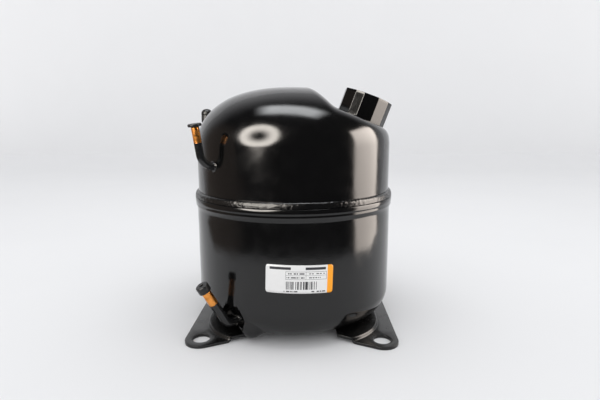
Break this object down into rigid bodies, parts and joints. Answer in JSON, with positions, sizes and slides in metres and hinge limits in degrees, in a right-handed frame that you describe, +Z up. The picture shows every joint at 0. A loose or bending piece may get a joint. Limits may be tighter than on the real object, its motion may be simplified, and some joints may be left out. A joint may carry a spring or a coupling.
{
  "type": "hermetic reciprocating compressor",
  "caption": "Hermetic reciprocating refrigeration compressor: welded black steel shell on two pressed feet, with stub tubes, terminal fence and a spring-hung pump and motor inside.",
  "frame": {"origin": "on the axis of the shell, at the floor that the feet stand on", "axes": "+Z up along the shell's axis, +X towards the electric terminals, -Y towards the label"},
  "size_m": [0.2355, 0.232, 0.2673],
  "materials": {
    "black_paint": "gloss",
    "weld_paint": "satin",
    "copper_tube": "satin",
    "rubber": "matte",
    "label_paper": "satin",
    "bare_steel": "satin",
    "spring_steel": "satin",
    "cast_iron": "matte",
    "lamination": "satin",
    "winding": "satin",
    "cast_aluminium": "satin",
    "seal_glass": "gloss",
    "gasket": "matte",
    "nylon": "satin"
  },
  "bodies": {
    "housing": {"lower_shell": "black_paint", "upper_shell": "black_paint", "seam_weld_bead": "weld_paint", "left_foot": "black_paint", "right_foot": "black_paint", "name_label": "label_paper", "terminal_header": "bare_steel", "terminal_pin_common": "bare_steel", "terminal_pin_start": "bare_steel", "terminal_pin_run": "bare_steel", "terminal_glass_common": "seal_glass", "terminal_glass_start": "seal_glass", "terminal_glass_run": "seal_glass", "terminal_fence": "black_paint", "suction_tube": "copper_tube", "process_tube": "copper_tube", "discharge_tube": "copper_tube", "spring_seat_1": "bare_steel", "spring_seat_2": "bare_steel", "spring_seat_3": "bare_steel", "spring_seat_4": "bare_steel"},
    "suction_cap": {"suction_plug": "rubber"},
    "process_cap": {"process_plug": "rubber"},
    "discharge_cap": {"discharge_plug": "rubber"},
    "pump": {"suspension_spring_1": "spring_steel", "suspension_spring_2": "spring_steel", "suspension_spring_3": "spring_steel", "suspension_spring_4": "spring_steel", "stator_core": "lamination", "upper_winding": "winding", "lower_winding": "winding", "stator_bolt_1": "bare_steel", "stator_bolt_2": "bare_steel", "stator_bolt_3": "bare_steel", "stator_bolt_4": "bare_steel", "cylinder_block": "cast_iron", "thrust_washer": "bare_steel", "head_gasket": "gasket", "valve_plate": "bare_steel", "cylinder_head": "cast_iron", "head_bolt_1": "bare_steel", "head_bolt_2": "bare_steel", "head_bolt_3": "bare_steel", "head_bolt_4": "bare_steel", "suction_muffler": "nylon", "discharge_muffler": "bare_steel", "discharge_loop": "copper_tube", "lead_harness": "nylon"},
    "crank": {"crankshaft": "cast_iron", "counterweight": "cast_iron", "rotor": "lamination", "oil_pickup": "bare_steel"},
    "piston": {"piston": "cast_iron", "wrist_pin": "bare_steel"},
    "rod": {"connecting_rod": "cast_aluminium", "crank_pin": "bare_steel"},
    "suction_valve": {"suction_reed": "spring_steel"},
    "discharge_valve": {"discharge_reed": "spring_steel"}
  },
  "joints": [
    {"name": "pump_bounce", "type": "slide", "parent": "housing", "child": "pump", "axis": [0, 0, 1], "range_m": [-0.003, 0.003], "stiffness_N_per_m": 20000, "springref_m": 0.0049, "deforming": ["suspension_spring_1", "suspension_spring_2", "suspension_spring_3", "suspension_spring_4", "discharge_loop", "lead_harness"]},
    {"name": "crank_spin", "type": "hinge", "parent": "pump", "child": "crank", "pos_m": [0, 0, 0.1], "axis": [0, 0, 1], "continuous": true},
    {"name": "piston_stroke", "type": "slide", "parent": "pump", "child": "piston", "axis": [-1, 0, 0], "range_m": [0, 0.0226]},
    {"name": "rod_swing", "type": "hinge", "parent": "piston", "child": "rod", "pos_m": [-0.0407, 0, 0.19], "axis": [0, 0, 1], "range_deg": [-12.5, 12.5]},
    {"name": "suction_reed_lift", "type": "hinge", "parent": "pump", "child": "suction_valve", "pos_m": [-0.0799, -0.008, 0.177], "axis": [0, 1, 0], "range_deg": [0, 3], "stiffness_Nm_per_rad": 0.05},
    {"name": "discharge_reed_lift", "type": "hinge", "parent": "pump", "child": "discharge_valve", "pos_m": [-0.085, 0.009, 0.203], "axis": [0, 1, 0], "range_deg": [0, 4], "stiffness_Nm_per_rad": 0.05},
    {"name": "suction_cap_pull", "type": "slide", "parent": "housing", "child": "suction_cap", "axis": [0, 0, 1], "range_m": [0, 0.012]},
    {"name": "process_cap_pull", "type": "slide", "parent": "housing", "child": "process_cap", "axis": [-0.1134, -0.1134, 0.9871], "range_m": [0, 0.012]},
    {"name": "discharge_cap_pull", "type": "slide", "parent": "housing", "child": "discharge_cap", "axis": [-0.4171, -0.253, 0.8729], "range_m": [0, 0.014]}
  ]
}
